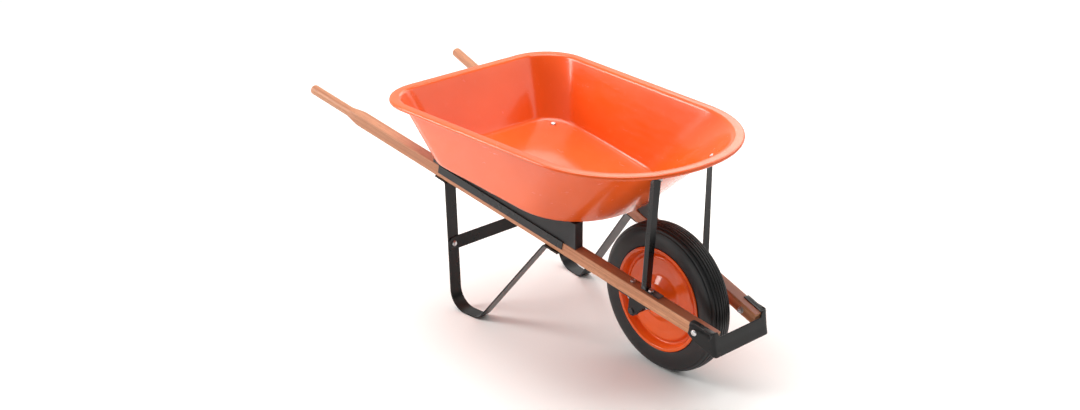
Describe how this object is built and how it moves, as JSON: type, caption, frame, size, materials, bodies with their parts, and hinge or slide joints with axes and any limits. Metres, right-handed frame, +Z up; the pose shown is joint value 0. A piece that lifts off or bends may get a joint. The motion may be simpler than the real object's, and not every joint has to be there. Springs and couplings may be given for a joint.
{
  "type": "wheelbarrow",
  "caption": "Wheelbarrow with a pressed steel tray, wooden handles, bent strap legs, a nose guard and one disc wheel with a pneumatic tyre.",
  "frame": {"origin": "on the ground under the centre of the whole barrow's box", "axes": "+X forward to the wheel, +Y to the operator's left, +Z up"},
  "size_m": [1.4956, 0.6691, 0.6195],
  "materials": {
    "tray_enamel": "glossy enamel",
    "rim_enamel": "glossy enamel",
    "hardwood": "lacquered hardwood",
    "black_painted_wood": "satin black paint",
    "black_steel": "satin black powder coat",
    "zinc_steel": "bright zinc",
    "rubber": "matte rubber",
    "black_plastic": "matte",
    "nylon": "matte"
  },
  "bodies": {
    "frame": {"axle": "black_steel", "axle_bracket_left": "black_steel", "axle_bracket_right": "black_steel", "axle_spacer_left": "black_steel", "axle_spacer_right": "black_steel", "axle_washers": "black_steel", "brace_bolts": "zinc_steel", "brace_nuts": "zinc_steel", "bracket_bolts": "zinc_steel", "bracket_nuts": "zinc_steel", "cotter_pins": "black_steel", "front_strut_left": "black_steel", "front_strut_right": "black_steel", "guard_bolts": "zinc_steel", "guard_nuts": "zinc_steel", "handle_left": "hardwood", "handle_right": "hardwood", "leg_brace": "black_steel", "leg_left": "black_steel", "leg_right": "black_steel", "nose_guard": "black_steel", "riser_left": "black_painted_wood", "riser_right": "black_painted_wood", "side_rail_left": "black_steel", "side_rail_right": "black_steel", "strut_bolts": "zinc_steel", "strut_nuts": "zinc_steel", "tray": "tray_enamel", "tray_bolts": "zinc_steel", "tray_nuts": "zinc_steel"},
    "wheel": {"hub_bushing_left": "nylon", "hub_bushing_right": "nylon", "hub_tube": "rim_enamel", "inner_tube": "rubber", "rim_left": "rim_enamel", "rim_right": "rim_enamel", "tyre": "rubber", "valve_cap": "black_plastic", "valve_stem": "rubber"}
  },
  "joints": [
    {"name": "wheel_spin", "type": "hinge", "parent": "frame", "child": "wheel", "pos_m": [0.47681, 0, 0.2056], "axis": [0, 1, 0], "continuous": true}
  ]
}
